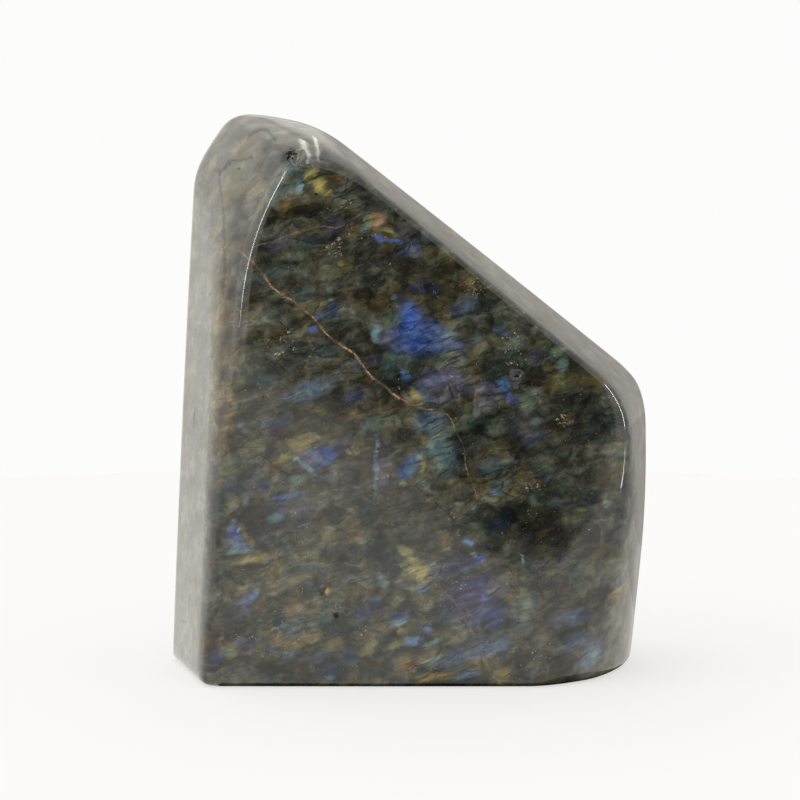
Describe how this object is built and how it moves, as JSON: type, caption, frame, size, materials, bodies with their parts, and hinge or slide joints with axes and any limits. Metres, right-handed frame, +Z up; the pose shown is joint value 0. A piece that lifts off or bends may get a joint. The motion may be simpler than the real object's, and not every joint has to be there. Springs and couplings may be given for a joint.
{
  "type": "polished labradorite freeform",
  "caption": "Free-standing polished labradorite stone with a flat ground base, a broad show face, bevelled sides and a slanted top.",
  "frame": {"origin": "centre of the bounding box's bottom, on the flat base that the stone stands on", "axes": "+Z up, the stone's longest extent; +X to the right seen from the show face; +Y from the show face to the back, the shortest extent"},
  "size_m": [0.1324, 0.0644, 0.1522],
  "materials": {
    "labradorite": "polished"
  },
  "bodies": {
    "root": {"labradorite_stone": "labradorite"}
  },
  "joints": []
}
